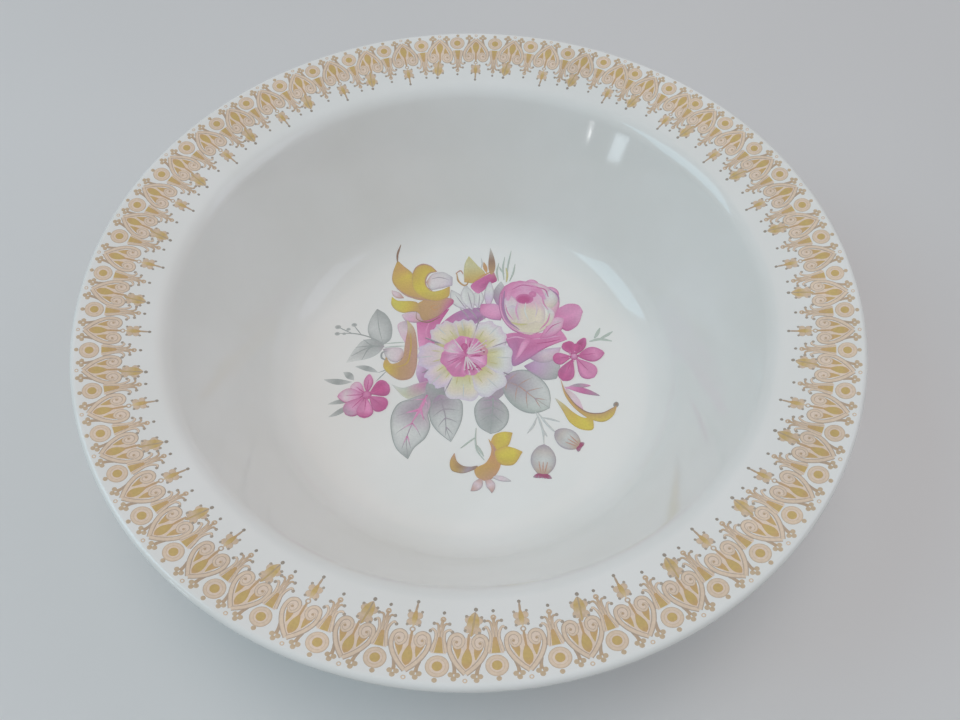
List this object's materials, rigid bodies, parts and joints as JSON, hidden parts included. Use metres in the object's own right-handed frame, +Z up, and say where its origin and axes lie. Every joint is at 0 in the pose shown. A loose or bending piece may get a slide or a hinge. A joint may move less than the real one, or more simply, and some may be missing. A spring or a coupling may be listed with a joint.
{
  "type": "serving bowl",
  "caption": "Round footed porcelain serving bowl with a broad sloping rim, steep wall and flat well, gold lace border and a flower spray on the floor.",
  "frame": {"origin": "centre of the plane that the foot ring rests on", "axes": "+Z up the bowl's axis, out of its mouth; +Y towards the far side of the flower spray, +X to its right"},
  "size_m": [0.229, 0.229, 0.066],
  "materials": {
    "clay": "fired clay, unglazed, seen only on the foot's resting face",
    "glaze": "clear glossy glaze over ivory white porcelain",
    "gold_print": "fired gold print, soft metallic lustre",
    "flower_enamel": "fired enamel colours in pink, cream, grey-green and ochre, satin"
  },
  "bodies": {
    "root": {"porcelain_body": "clay", "glaze_coat": "glaze", "foot_recess_glaze": "glaze", "gold_lace_strip_1": "gold_print", "gold_lace_strip_2": "gold_print", "gold_lace_closing_strip": "gold_print", "flower_transfer": "flower_enamel"}
  },
  "joints": []
}
